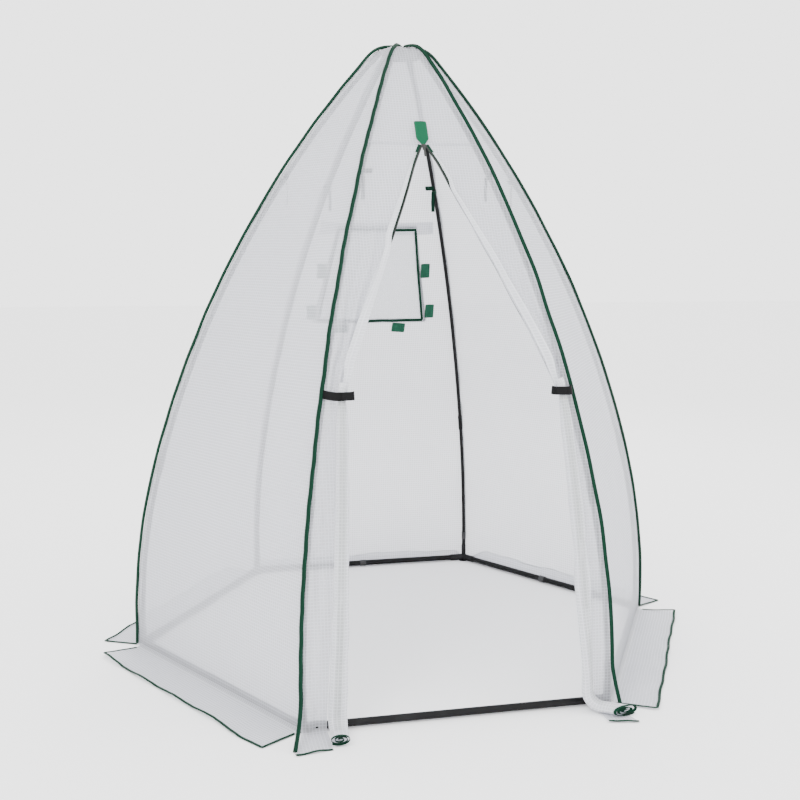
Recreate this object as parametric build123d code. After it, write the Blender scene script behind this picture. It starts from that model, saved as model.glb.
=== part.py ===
from build123d import *
import math
import os

os.makedirs("parts", exist_ok=True)

# Six-sided walk-in greenhouse: a hexagon of base tubes, six bowed poles, a sewn cover with a split door.
# Millimetres, +Z up. The origin is the middle of the hexagon on the ground and the door faces -Y.
# Corners are numbered anticlockwise from above, from the door's left corner. Side k starts at corner k.

# Overall sizes
SIDE = 900.0  # corner to corner along a side, between tube centre lines; also the corner radius
HEIGHT = 2007.0  # ground to the cover's flat top
SIDES = 6
HALF_TURN = 180.0 / SIDES
COS_SIDE = math.cos(math.radians(HALF_TURN))
TAN_SIDE = math.tan(math.radians(HALF_TURN))

# Outline of a seam, seen side on: an upright foot, two arcs, a tight bend and a flat top
SHOULDER_DEG = 15.2  # lean from upright where the two arcs meet
CROWN_DEG = 42.0  # lean where the tight bend starts
CROWN_BEND_R = 60.0
CROWN_FLAT_R = 55.0

# Frame
TUBE_R = 11.0
TUBE_WALL = 1.0
TUBE_LIFT = 1.0  # from the ground to the underside of a tube socket
TUBE_END_GAP = 15.0  # from the corner point to the end of a base tube
POLE_R = 7.0
POLE_WALL = 1.0
POLE_FOOT_Z = 22.0
POLE_TIP_RUN = 12.0  # straight run of the pole past its last arc
SOCKET_WALL = 1.8
SOCKET_GAP = 0.2
TUBE_SOCKET_L = 58.0
POLE_SOCKET_TOP = 68.0
PAD_R = 18.0
PAD_H = 3.0
FERRULE_L = 60.0
FERRULE_WALL = 1.5
FERRULE_GAP = 0.3
HUB_R = 66.0
HUB_T = 22.0
HUB_DROP = 8.0  # from the cover's flat top down to the hub's top face
HUB_SOCKET_L = 40.0

# Cover
CLOTH = 1.5
LAYER_GAP = 0.6
COVER_GAP = 0.1  # from the tube sockets out to the cover
BINDING_W = 11.0
BINDING_T = 2.5
BINDING_TOP_R = 14.0
SKIRT_W = 132.0
SKIRT_GAP = 3.0
SKIRT_TRIM = 2.0  # how much each skirt end stops short of its corner

# Door, seen from the front. The zip runs down the middle of the front gore.
ZIP_TOP_DROP = 345.0  # from the cover's flat top down to the top of the zip
TIE_Z = 940.0
GATHER_TOP_L = 71.0  # seam to the opening edge at the tie, left and right
GATHER_TOP_R = 51.0
GATHER_FOOT_L = 126.0  # the same at the ground
GATHER_FOOT_R = 108.0
ROLL_TOP_W = 38.0
ROLL_FOOT_W = 66.0
ROLL_T = 33.0
TAIL_L = 95.0  # run of each roll's foot over the ground, left and right
TAIL_R = 120.0
TAIL_TURN_L = 0.0  # degrees that the foot turns out towards its corner
TAIL_TURN_R = 45.0
EDGE_TOP_W = 7.0  # width of the gathered cloth at the top of the zip
EDGE_T = 22.0
EDGE_STEPS = 6  # straight runs in the curved opening edge above the tie
EDGE_TOP_DROP = 62.0
EDGE_FOOT_RISE = 66.0  # room for the gathered edge to swing down as the door closes
DOOR_GAP = 4.0
HEM_T = 1.5
PATCH_W = 40.0
PATCH_H = 73.0
PATCH_TIP = 22.0
SLIDER_W = 12.0
SLIDER_H = 18.0
SLIDER_T = 7.0
PULL_W = 8.0
PULL_L = 32.0
PULL_T = 1.6
STRAP_W = 25.0
STRAP_T = 2.0
STRAP_REACH = 12.0  # how far the strap's end passes the opening edge
STRAP_ROOT_OUT = 9.0

# Window, in the gore opposite the door
WINDOW_DROP = 567.0  # from the cover's flat top down to the flap's top edge
FLAP_H = 377.0
FLAP_TOP_HALF = 152.0
FLAP_FOOT_HALF = 230.0
WINDOW_MARGIN = 18.0  # how far the flap laps past the opening
WINDOW_TRIM = 13.0
TAB_W = 36.0
TAB_L = 54.0
TAB_RISES = (0.12, 0.55)  # heights of the tabs at each side, as shares of the flap's height
TAB_SPREAD = 0.5  # from the middle to each tab at the foot, as a share of the flap's half width

# Ties and hook-and-loop wraps
TIE_LEAN = 33.0  # pole lean at the height of a tie
TIE_W = 14.0
TIE_L = 75.0
TIE_T = 1.2
TIE_CLEAR = 3.0
WRAP_T = 1.5
WRAP_GAP = 0.1  # from a pole out to the tape round it
TUBE_WRAP_L = 25.0
POLE_WRAP_L = 30.0
POLE_WRAP_Z = 111.0

# Values that follow from the sizes above
FOOT_H = POLE_SOCKET_TOP  # a pole, and the seam over it, stays upright as far as its socket reaches
SOCKET_R = TUBE_R + SOCKET_GAP + SOCKET_WALL
TUBE_Z = TUBE_LIFT + SOCKET_R
POLE_INSET = (SOCKET_R + COVER_GAP + CLOTH / 2) / COS_SIDE  # from the seam line in to the pole's centre line
SEAM_R = SIDE + POLE_INSET
ZIP_TOP_Z = HEIGHT - ZIP_TOP_DROP
WINDOW_TOP_Z = HEIGHT - WINDOW_DROP
WINDOW_FOOT_Z = WINDOW_TOP_Z - FLAP_H
FLAP_SLOPE = (FLAP_FOOT_HALF - FLAP_TOP_HALF) / FLAP_H
SHOULDER = math.radians(SHOULDER_DEG)
CROWN = math.radians(CROWN_DEG)
CROWN_R = CROWN_FLAT_R + CROWN_BEND_R * math.cos(CROWN)
CROWN_Z = HEIGHT - CROWN_BEND_R * (1 - math.sin(CROWN))
SKIRT_NEAR = COS_SIDE * SEAM_R + CLOTH / 2 + SKIRT_GAP
SKIRT_FAR = SKIRT_NEAR + SKIRT_W


def arc_radii():
    """Radii of the two arcs that carry a seam from its foot to the crown at the chosen leans."""
    run = SEAM_R - CROWN_R
    rise = CROWN_Z - FOOT_H
    a = 1 - math.cos(SHOULDER)
    b = math.cos(SHOULDER) - math.cos(CROWN)
    c = math.sin(SHOULDER)
    d = math.sin(CROWN) - math.sin(SHOULDER)
    det = a * d - b * c
    return (run * d - b * rise) / det, (a * rise - c * run) / det


LOWER_R, UPPER_R = arc_radii()
LOWER_MID = (SEAM_R - LOWER_R, FOOT_H)
UPPER_MID = (
    LOWER_MID[0] + (LOWER_R - UPPER_R) * math.cos(SHOULDER),
    LOWER_MID[1] + (LOWER_R - UPPER_R) * math.sin(SHOULDER),
)
CROWN_MID = (CROWN_FLAT_R, HEIGHT - CROWN_BEND_R)


def seam(lean, inset=0.0):
    """Point (radius, height) of the line parallel to the seam where it leans by an angle in radians."""
    if lean <= SHOULDER:
        mid, radius = LOWER_MID, LOWER_R
    elif lean <= CROWN:
        mid, radius = UPPER_MID, UPPER_R
    else:
        mid, radius = CROWN_MID, CROWN_BEND_R
    return mid[0] + (radius - inset) * math.cos(lean), mid[1] + (radius - inset) * math.sin(lean)


def lean_at(z):
    """Lean of the seam at a height below the crown."""
    if z <= FOOT_H:
        return 0.0
    if z <= seam(SHOULDER)[1]:
        return math.asin((z - LOWER_MID[1]) / LOWER_R)
    return math.asin((z - UPPER_MID[1]) / UPPER_R)


def seam_radius(z):
    """Radius of the seam at a height below the crown."""
    return SEAM_R if z <= FOOT_H else seam(lean_at(z))[0]


def front(z):
    """Distance from the middle of the plan to the middle of a gore at a height."""
    return COS_SIDE * seam_radius(z)


def half_width(z):
    """Half the width of a gore at a height below the crown."""
    return front(z) * TAN_SIDE


def corner_turn(k):
    return Rotation(0, 0, -90 - HALF_TURN + 2 * HALF_TURN * k)


def side_turn(k):
    return Rotation(0, 0, 2 * HALF_TURN * k)


def save(shape, name):
    """Write one sub-part to its own file."""
    shape.label = name
    export_step(shape, f"parts/{name}.step")


def ring(outer, inner, length, plane):
    """Plain tube that starts on a plane and runs along its normal."""
    return plane * (Pos(0, 0, length / 2) * (Cylinder(outer, length) - Cylinder(inner, length)))


# Cover shapes


def gore_line(lean, out):
    """Point (distance out, height) on a gore's middle line, moved out from its surface."""
    r, z = seam(lean)
    nr, nz = math.cos(lean), COS_SIDE * math.sin(lean)
    size = math.hypot(nr, nz)
    return COS_SIDE * r + out * nr / size, z + out * nz / size


def gore_edge(out, steps=(6, 24, 8)):
    """Edges of a gore's side view at a distance out from its surface, from the ground to the middle."""
    leans = [SHOULDER * i / steps[0] for i in range(steps[0])]
    leans += [SHOULDER + (CROWN - SHOULDER) * i / steps[1] for i in range(steps[1])]
    leans += [CROWN + (math.pi / 2 - CROWN) * i / steps[2] for i in range(steps[2] + 1)]
    points = [Vector(0, -a, z) for a, z in (gore_line(lean, out) for lean in leans)]
    foot = Vector(0, points[0].Y, 0)
    top = Vector(0, 0, points[-1].Z)
    curve = Edge.make_spline(points, tangents=[Vector(0, 0, 1), Vector(0, 1, 0)])
    return [Edge.make_line(foot, points[0]), curve, Edge.make_line(points[-1], top)]


def layer(inner, outer):
    """Cloth layer over the whole front, between two distances out from the gore's surface."""
    low, high = gore_edge(inner), gore_edge(outer)
    ends = [
        Edge.make_line(low[0] @ 0, high[0] @ 0),
        Edge.make_line(low[-1] @ 1, high[-1] @ 1),
    ]
    face = Face(Wire(low + high + ends))
    return extrude(face, amount=SIDE, dir=(1, 0, 0), both=True)


def outline(points):
    """Upright prism with a front-view outline of (x, z) points, over the front half of the plan."""
    depth = 2 * SIDE
    face = Face(Wire.make_polygon([Vector(x, -depth, z) for x, z in points], close=True))
    return extrude(face, amount=depth, dir=(0, 1, 0))


def wedge():
    """Sixth of the plan that the front gore covers."""
    reach = 2 * SIDE
    half = reach * TAN_SIDE
    points = [Vector(0, 0, -1), Vector(-half, -reach, -1), Vector(half, -reach, -1)]
    face = Face(Wire.make_polygon(points, close=True))
    return extrude(face, amount=HEIGHT + SIDE, dir=(0, 0, 1))


CLOTH_LAYER = layer(-CLOTH / 2, CLOTH / 2)
GORE = CLOTH_LAYER & wedge()


def seam_path(inset, top_r):
    """Path parallel to the seam, from the ground to a radius near the middle, in the XZ plane."""

    def at(lean):
        r, z = seam(lean, inset)
        return Vector(r, 0, z)

    foot = at(0)
    bend = (CROWN + math.pi / 2) / 2
    top = at(math.pi / 2)
    return Wire(
        [
            Edge.make_line(Vector(foot.X, 0, 0), foot),
            Edge.make_three_point_arc(foot, at(SHOULDER / 2), at(SHOULDER)),
            Edge.make_three_point_arc(at(SHOULDER), at((SHOULDER + CROWN) / 2), at(CROWN)),
            Edge.make_three_point_arc(at(CROWN), at(bend), top),
            Edge.make_line(top, Vector(top_r, 0, top.Z)),
        ]
    )


# Frame


def base_tube():
    """Straight tube between two corner connectors, on the front side."""
    length = SIDE - 2 * TUBE_END_GAP
    start = Plane(origin=(-length / 2, -SIDE * COS_SIDE, TUBE_Z), z_dir=(1, 0, 0))
    return ring(TUBE_R, TUBE_R - TUBE_WALL, length, start)


def corner_connector():
    """Moulded connector on the +X corner: a foot pad, an upright socket and two tube sockets."""
    pad_x = SEAM_R - (PAD_R + CLOTH / 2 + LAYER_GAP) / COS_SIDE
    body = Pos(pad_x, 0, PAD_H / 2) * Cylinder(PAD_R, PAD_H)
    pole_outer = POLE_R + SOCKET_GAP + SOCKET_WALL
    body += Pos(SIDE, 0, POLE_SOCKET_TOP / 2) * Cylinder(pole_outer, POLE_SOCKET_TOP)
    body += Pos(SIDE, 0, TUBE_Z) * Sphere(SOCKET_R)
    bores = Pos(SIDE, 0, POLE_FOOT_Z + SIDE / 2) * Cylinder(POLE_R + SOCKET_GAP, SIDE)
    for sign in (-1, 1):
        along = Vector(-math.sin(math.radians(HALF_TURN)), sign * COS_SIDE, 0)
        at = Plane(origin=(SIDE, 0, TUBE_Z), z_dir=along)
        body += at * (Pos(0, 0, TUBE_SOCKET_L / 2) * Cylinder(SOCKET_R, TUBE_SOCKET_L))
        bore_l = SIDE / 4
        bores += at * (Pos(0, 0, TUBE_END_GAP + bore_l / 2) * Cylinder(TUBE_R + SOCKET_GAP, bore_l))
    floor = Pos(SIDE, 0, -SIDE / 2) * Box(SIDE, SIDE, SIDE)
    return body - bores - floor


def swept_tube(edges, outer, inner):
    """Round tube along a run of tangent edges."""
    path = Wire(edges)
    start = Plane(origin=path @ 0, z_dir=path % 0)
    return sweep(start * (Circle(outer) - Circle(inner)), path=path)


def pole_point(lean):
    r, z = seam(lean, POLE_INSET)
    return Vector(r, 0, z)


def pole_lower():
    """Pole section from the corner socket to the ferrule, in the XZ plane."""
    foot = pole_point(0)
    low = Vector(foot.X, 0, POLE_FOOT_Z)
    top = pole_point(SHOULDER)
    edges = [Edge.make_line(low, foot), Edge.make_three_point_arc(foot, pole_point(SHOULDER / 2), top)]
    along = Vector(-math.sin(SHOULDER), 0, math.cos(SHOULDER))
    sleeve_in = POLE_R + FERRULE_GAP
    sleeve_out = sleeve_in + FERRULE_WALL
    sleeve = ring(sleeve_out, sleeve_in, FERRULE_L / 2, Plane(origin=top, z_dir=along))
    collar = ring(sleeve_out, POLE_R - POLE_WALL, FERRULE_L / 2, Plane(origin=top, z_dir=-along))
    return swept_tube(edges, POLE_R, POLE_R - POLE_WALL) + sleeve + collar


def pole_upper():
    """Pole section from the ferrule to the crown hub, in the XZ plane."""
    start, end = pole_point(SHOULDER), pole_point(CROWN)
    along = Vector(-math.sin(CROWN), 0, math.cos(CROWN))
    arc = Edge.make_three_point_arc(start, pole_point((SHOULDER + CROWN) / 2), end)
    return swept_tube([arc, Edge.make_line(end, end + along * POLE_TIP_RUN)], POLE_R, POLE_R - POLE_WALL)


def crown_hub():
    """Hub under the flat top: a disc with one sloping socket for each pole."""
    top_z = HEIGHT - HUB_DROP
    body = Pos(0, 0, top_z - HUB_T / 2) * Cylinder(HUB_R, HUB_T)
    tip = pole_point(CROWN) + Vector(-math.sin(CROWN), 0, math.cos(CROWN)) * POLE_TIP_RUN
    down = Vector(math.sin(CROWN), 0, -math.cos(CROWN))
    outer = POLE_R + SOCKET_GAP + SOCKET_WALL
    for k in range(SIDES):
        at = Plane(origin=tip, z_dir=down)
        end_wall = SOCKET_WALL + outer
        arm = at * (Pos(0, 0, (HUB_SOCKET_L - end_wall) / 2) * Cylinder(outer, HUB_SOCKET_L + end_wall))
        bore = at * (Pos(0, 0, HUB_SOCKET_L) * Cylinder(POLE_R + SOCKET_GAP, 2 * HUB_SOCKET_L))
        body = body + corner_turn(k) * arm - corner_turn(k) * bore
    return body - Pos(0, 0, top_z + HUB_T) * Cylinder(2 * HUB_R, 2 * HUB_T)


# Sewn trim


def seam_binding():
    """Binding ribbon folded over one seam, in the XZ plane."""
    out = CLOTH / 2 / COS_SIDE + LAYER_GAP
    path = seam_path(-out, BINDING_TOP_R)
    half = BINDING_W / 2
    plane = Plane(origin=path @ 0, x_dir=(1, 0, 0), z_dir=(0, 0, 1))
    ribbon = Polygon((0, half), (BINDING_T, half), (BINDING_T, -half), (0, -half), align=None)
    return sweep(plane * ribbon, path=path)


def skirt():
    """Flap that lies on the ground outside the front side."""
    return Pos(0, -(SKIRT_NEAR + SKIRT_FAR) / 2, HEM_T / 2) * Box(SIDE - 2 * SKIRT_TRIM, SKIRT_W, HEM_T)


# Door. The left half is at -X. Both halves are made on the left and mirrored to their side.


def edge_share(z):
    """How far down the open zip's chord a height lies: 0 at the zip's top, 1 at the tie."""
    rise = ZIP_TOP_Z - TIE_Z
    lean = front(TIE_Z) - front(ZIP_TOP_Z)
    return ((ZIP_TOP_Z - z) * rise + (front(z) - front(ZIP_TOP_Z)) * lean) / (rise**2 + lean**2)


def edge_x(z, top, foot):
    """Opening edge's distance from the middle: slanting to the tie, then nearly upright."""
    return top * edge_share(z) if z >= TIE_Z else foot + (top - foot) * z / TIE_Z


def roll_width(z):
    """Width of the gathered cloth at a height."""
    if z >= TIE_Z:
        return EDGE_TOP_W + (ROLL_TOP_W - EDGE_TOP_W) * edge_share(z)
    return ROLL_FOOT_W + (ROLL_TOP_W - ROLL_FOOT_W) * z / TIE_Z


def at_edge(z):
    return 0.0


def past_roll(z):
    return roll_width(z) + DOOR_GAP


def past_seam(z):
    return SIDE


def half_outline(low, high, near, far, top, foot):
    """Left outline between two heights and between two distances past the opening edge."""
    upper_low = max(low, TIE_Z)
    levels = [low] * (low < TIE_Z)
    if high > TIE_Z:
        levels += [upper_low + (high - upper_low) * i / EDGE_STEPS for i in range(EDGE_STEPS)]
    levels.append(high)
    inner = [(-edge_x(z, top, foot) - near(z), z) for z in levels]
    outer = [(-edge_x(z, top, foot) - far(z), z) for z in reversed(levels)]
    return outline(inner + outer)


def door_roll(top, foot, tail, tail_turn):
    """Rolled lower part of the left door half, with its foot lying forward over the hem."""
    roll = layer(CLOTH / 2 + LAYER_GAP, ROLL_T) & half_outline(0, TIE_Z, at_edge, roll_width, top, foot)
    near = COS_SIDE * SEAM_R + CLOTH / 2 + LAYER_GAP
    low = HEM_T + LAYER_GAP
    at = Pos(-foot - ROLL_FOOT_W / 2, -near, (low + ROLL_T) / 2) * Rotation(0, 0, -tail_turn)
    lying = at * Box(ROLL_FOOT_W, 2 * tail, ROLL_T - low)
    outside = Pos(0, -near - SIDE, HEIGHT / 2) * Box(4 * SIDE, 2 * SIDE, HEIGHT)
    return roll + (lying & outside)


def door_edge(top, foot):
    """Gathered edge of the left door half above the tie. It swings about the zip's top to the middle."""
    low = TIE_Z + EDGE_FOOT_RISE
    high = ZIP_TOP_Z - EDGE_TOP_DROP
    rise = ZIP_TOP_Z - TIE_Z
    lean = front(TIE_Z) - front(ZIP_TOP_Z)
    chord = math.hypot(rise, lean)
    swung_in = EDGE_T * (lean / chord) * (top / chord)  # how far its outer face overtakes its inner one
    shape = half_outline(low, high, lambda z: LAYER_GAP + swung_in, roll_width, top, foot)
    return layer(CLOTH / 2 + LAYER_GAP, EDGE_T) & shape


def door_panel(top, foot):
    """Flat cloth of the left door half from its seam to the gathered part, with its piece of skirt."""
    cloth = GORE & half_outline(0, ZIP_TOP_Z - DOOR_GAP, past_roll, past_seam, top, foot)
    inner_x = foot + past_roll(0)
    outer_x = SIDE / 2 - SKIRT_TRIM
    start = COS_SIDE * SEAM_R - CLOTH / 2
    hem = Pos(-(inner_x + outer_x) / 2, -(start + SKIRT_FAR) / 2, HEM_T / 2)
    return cloth + hem * Box(outer_x - inner_x, SKIRT_FAR - start, HEM_T)


def top_panel():
    """Front cloth above the zip."""
    return GORE & outline([(-SIDE, ZIP_TOP_Z), (SIDE, ZIP_TOP_Z), (SIDE, 2 * HEIGHT), (-SIDE, 2 * HEIGHT)])


def zip_patch():
    """Reinforcing patch over the top of the zip, with a pointed lower end."""
    half = PATCH_W / 2
    top = ZIP_TOP_Z + PATCH_H
    shoulder = ZIP_TOP_Z + PATCH_TIP
    shape = outline([(0, ZIP_TOP_Z), (half, shoulder), (half, top), (-half, top), (-half, shoulder)])
    out = CLOTH / 2 + LAYER_GAP
    return layer(out, out + CLOTH) & shape


def zip_slider():
    """Zip slider just below the patch."""
    top = ZIP_TOP_Z - DOOR_GAP
    half = SLIDER_W / 2
    shape = outline([(-half, top - SLIDER_H), (half, top - SLIDER_H), (half, top), (-half, top)])
    return layer(0, SLIDER_T) & shape


def zip_pull():
    """Pull tab that hangs down from the slider over the cloth."""
    top = ZIP_TOP_Z - DOOR_GAP - SLIDER_H / 2
    half = PULL_W / 2
    shape = outline([(-half, top - PULL_L), (half, top - PULL_L), (half, top), (-half, top)])
    out = SLIDER_T + LAYER_GAP
    return layer(out, out + PULL_T) & shape


def strap(top):
    """Left tie-back strap: from its root at the seam, out round the roll's edge and flat across its front."""
    z = TIE_Z - STRAP_W
    wall = front(z)
    root_x = -half_width(z)
    outer_x = -top - ROLL_TOP_W - 2 * STRAP_T
    front_y = -wall - ROLL_T - 2 * STRAP_T
    line = [
        (root_x, -wall - STRAP_ROOT_OUT),
        (outer_x, front_y),
        (-top + STRAP_REACH, front_y),
        (-top + STRAP_REACH, front_y - STRAP_T),
        (outer_x - STRAP_T, front_y - STRAP_T),
        (root_x - STRAP_T, -wall - STRAP_ROOT_OUT),
    ]
    face = Face(Wire.make_polygon([Vector(x, y, z) for x, y in line], close=True))
    rise = Vector(0, front(z) - front(TIE_Z), STRAP_W)
    return extrude(face, amount=rise.length, dir=rise.normalized())


# Window, made on the front side and turned to the back


def flap_half(z):
    """Half the flap's width at a height."""
    return FLAP_TOP_HALF + FLAP_SLOPE * (WINDOW_TOP_Z - z)


def window_outline(grow):
    """Window outline moved out by a distance from the opening's edge."""
    low = WINDOW_FOOT_Z + WINDOW_MARGIN - grow
    high = WINDOW_TOP_Z - WINDOW_MARGIN + grow
    side = (grow - WINDOW_MARGIN) * math.hypot(1, FLAP_SLOPE)
    foot, top = flap_half(low) + side, flap_half(high) + side
    return outline([(-foot, low), (foot, low), (top, high), (-top, high)])


def window_tabs():
    """Hook-and-loop tabs on the inside, just past the opening's trim, with their long sides along it."""
    out = -CLOTH / 2 - LAYER_GAP
    cloth = layer(out - CLOTH, out)
    spots = []
    for rise in TAB_RISES:
        z = WINDOW_FOOT_Z + rise * FLAP_H
        spots.append((flap_half(z) + LAYER_GAP + TAB_W / 2, z, TAB_W / 2, TAB_L / 2))
    foot_z = WINDOW_FOOT_Z - LAYER_GAP - TAB_W / 2
    spots.append((TAB_SPREAD * FLAP_FOOT_HALF, foot_z, TAB_L / 2, TAB_W / 2))
    tabs = Part()
    for x, z, half_w, half_h in spots:
        low, high = z - half_h, z + half_h
        for left in (-x - half_w, x - half_w):
            right = left + 2 * half_w
            tabs += cloth & outline([(left, low), (right, low), (right, high), (left, high)])
    return tabs


# Ties and wraps


def tie():
    """Strip that hangs from a loop on a pole, in the XZ plane."""
    lean = math.radians(TIE_LEAN)
    pole = pole_point(lean)
    x = pole.X - (POLE_R + WRAP_T + TIE_CLEAR) / math.cos(lean)
    return Pos(x, 0, pole.Z - TIE_L / 2) * Box(TIE_T, TIE_W, TIE_L)


def pole_loop(lean, length):
    """Loop of tape round a pole where it leans by an angle in radians, in the XZ plane."""
    arc_r = (LOWER_R if lean <= SHOULDER else UPPER_R) - POLE_INSET
    bow = (length / 2) ** 2 / (2 * arc_r)  # how far the pole bends away within the loop
    along = Vector(-math.sin(lean), 0, math.cos(lean))
    start = pole_point(lean) - along * (length / 2)
    inner = POLE_R + bow + WRAP_GAP
    return ring(inner + WRAP_T, inner, length, Plane(origin=start, z_dir=along))


def tube_wrap():
    """Wrap of tape round the middle of the front base tube."""
    start = Plane(origin=(-TUBE_WRAP_L / 2, -SIDE * COS_SIDE, TUBE_Z), z_dir=(1, 0, 0))
    return ring(TUBE_R + WRAP_T, TUBE_R, TUBE_WRAP_L, start)


def build_frame():
    """Tubes, connectors, poles and hub."""
    for k in range(SIDES):
        save(side_turn(k) * base_tube(), f"base_tube_{k + 1}")
        save(corner_turn(k) * corner_connector(), f"corner_connector_{k + 1}")
        save(corner_turn(k) * pole_lower(), f"pole_lower_{k + 1}")
        save(corner_turn(k) * pole_upper(), f"pole_upper_{k + 1}")
    save(crown_hub(), "crown_hub")


def build_cover():
    """Gores, bindings and skirts."""
    names = ["right_front", "right_back", "back", "left_back", "left_front"]
    hole = window_outline(0)
    for k, name in enumerate(names, start=1):
        gore = GORE - hole if name == "back" else GORE
        save(side_turn(k) * gore, f"gore_{name}")
        save(side_turn(k) * skirt(), f"skirt_{name}")
    save(top_panel(), "front_top_panel")
    binding = seam_binding()
    save(Compound(children=[corner_turn(k) * binding for k in range(SIDES)]), "seam_binding")


def build_door():
    """Both door halves, their straps and the zip."""
    sides = (
        ("left", GATHER_TOP_L, GATHER_FOOT_L, TAIL_L, TAIL_TURN_L, False),
        ("right", GATHER_TOP_R, GATHER_FOOT_R, TAIL_R, TAIL_TURN_R, True),
    )
    for name, gather_top, gather_foot, tail, tail_turn, flip in sides:
        top = half_width(TIE_Z) - gather_top
        foot = half_width(0) - gather_foot
        for piece, shape in (
            ("panel", door_panel(top, foot)),
            ("roll", door_roll(top, foot, tail, tail_turn)),
            ("edge", door_edge(top, foot)),
            ("strap", strap(top)),
        ):
            save(mirror(shape, about=Plane.YZ) if flip else shape, f"door_{piece}_{name}")
    save(zip_patch(), "zip_patch")
    save(zip_slider(), "zip_slider")
    save(zip_pull(), "zip_pull")


def build_window():
    """Screen, trim, flap and tabs on the back gore."""
    turn = side_turn(SIDES // 2)
    inside = -CLOTH / 2 - LAYER_GAP
    trim = layer(inside - CLOTH, inside) & (window_outline(WINDOW_TRIM) - window_outline(0))
    screen_out = inside - CLOTH - LAYER_GAP
    screen = layer(screen_out - CLOTH / 2, screen_out) & window_outline(WINDOW_TRIM)
    outside = CLOTH / 2 + LAYER_GAP
    flap = layer(outside, outside + CLOTH) & window_outline(WINDOW_MARGIN)
    save(turn * trim, "window_trim")
    save(turn * screen, "window_screen")
    save(turn * flap, "window_flap")
    save(turn * window_tabs(), "window_tabs")


def build_fastenings():
    """Hanging ties, pole loops and base tube wraps."""
    loops = []
    for k in range(SIDES):
        save(corner_turn(k) * tie(), f"tie_{k + 1}")
        for lean, length in ((math.radians(TIE_LEAN), TIE_W), (lean_at(POLE_WRAP_Z), POLE_WRAP_L)):
            loops.append(corner_turn(k) * pole_loop(lean, length))
    save(Compound(children=loops), "pole_loops")
    save(Compound(children=[side_turn(k) * tube_wrap() for k in range(1, SIDES)]), "tube_wraps")


build_frame()
build_cover()
build_door()
build_window()
build_fastenings()
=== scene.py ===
import math

import bpy
import numpy as np
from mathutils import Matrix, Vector
from mathutils.bvhtree import BVHTree


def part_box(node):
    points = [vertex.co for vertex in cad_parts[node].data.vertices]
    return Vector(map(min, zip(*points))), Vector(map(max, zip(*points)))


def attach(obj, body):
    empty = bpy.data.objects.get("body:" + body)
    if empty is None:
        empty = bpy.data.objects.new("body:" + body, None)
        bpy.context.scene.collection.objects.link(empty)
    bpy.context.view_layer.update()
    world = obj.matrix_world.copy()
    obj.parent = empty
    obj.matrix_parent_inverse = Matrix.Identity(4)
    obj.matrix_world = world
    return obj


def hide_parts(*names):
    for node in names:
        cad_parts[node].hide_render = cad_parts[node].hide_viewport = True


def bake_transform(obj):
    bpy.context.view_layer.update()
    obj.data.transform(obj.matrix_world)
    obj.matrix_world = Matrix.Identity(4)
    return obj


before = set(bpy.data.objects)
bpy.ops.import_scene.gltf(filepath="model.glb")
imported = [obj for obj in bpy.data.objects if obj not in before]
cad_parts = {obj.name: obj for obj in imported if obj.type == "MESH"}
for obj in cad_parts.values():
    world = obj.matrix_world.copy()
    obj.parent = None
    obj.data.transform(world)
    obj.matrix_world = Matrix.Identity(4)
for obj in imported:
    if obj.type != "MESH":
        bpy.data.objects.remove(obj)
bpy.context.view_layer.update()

# A six-sided walk-in greenhouse. Metres, +Z up, door at -Y. Side 0 is the door side and side k is k
# sixths of a turn on, anticlockwise from above. Corner k is at the start of side k.
SIDES = 6
HALF_TURN = math.pi / SIDES
COS_SIDE = math.cos(HALF_TURN)
TAN_SIDE = math.tan(HALF_TURN)
GORES = {1: "right_front", 2: "right_back", 3: "back", 4: "left_back", 5: "left_front"}
UP = np.array([0.0, 0.0, 1.0])
ACROSS = np.array([1.0, 0, 0])

# Camera
CAMERA_TURN = -12.38
CAMERA_RISE = 7.39
CAMERA_REACH = 3.668
CAMERA_TARGET_Z = 0.8208
CAMERA_LENS = 47.2
CAMERA_SHIFT = -0.002

# Studio
WORLD_LIGHT = 3.0
LIGHT_SIZE = 3.0
LIGHT_AIM_Z = 0.8
LIGHTS = {"key": ((-3.2, -4.2, 4.4), 220), "fill": ((4.0, -2.2, 2.6), 70), "rim": ((1.5, 4.0, 4.0), 90)}
FLOOR_REACH = 30.0
FLOOR_DROP = 0.0005  # keeps the floor clear of what lies on the ground

# Cloth
CLOTH_IN = -0.0007  # from the CAD shell's outer face to the middle of the cloth
SAG = 0.012  # how far a gore's middle hangs in between its poles
CLOTH_FOOT = 0.004  # length up the middle line at which a gore's cloth starts
THREAD_PITCH = 0.0095
SCREEN_PITCH = 0.0016
STITCH_PITCH = 0.0042
BINDING_W = 0.012
BINDING_T = 0.0085
EDGE_TAPE_W = 0.009
EDGE_TAPE_T = 0.0022
EDGE_BOW = {"left": -0.002, "right": -0.004}  # how far the opening edge is drawn back above the strap
EDGE_FOLDS = 2.5
ROLL_LOW_Z = 0.05  # the roll's solid is plain above this height
ROLL_TURNS = 2.8
ROLL_BEND = 0.045  # radius with which the roll turns forward over the ground
HEM_CORNER_X = 0.489
BINDING_KINK_Z = (0.076, 0.12)  # where the bindings at the door's corners turn out to the hem
BINDING_FOOT = ((-0.489, -0.905), (0.474, -0.835))
ZIP_BARE_Z = {"left": 1.38, "right": 1.555}  # the zip shows outside above this height
ZIP_TAPE_W = 0.015
ZIP_TAPE_BARE = 0.009
TOOTH_HALF = (0.0011, 0.0024, 0.001)  # half a tooth's size along, across and out of the tape
STRAP_W = 0.025
STRAP_T = 0.0018
STRAP_SAG = 0.0015
TIE_STRIP_W = 0.0135
STUB_W = 0.018
TRIM_LAP = 0.013  # how far the window's trim laps over the cloth
TRIM_MID = 0.006  # from the opening's outline to the middle of its trim
FLAP_TRIM = 0.003  # from the flap's solid in to its cloth
SCREEN_IN = -0.0035
TRIM_IN = -0.0068
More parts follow.
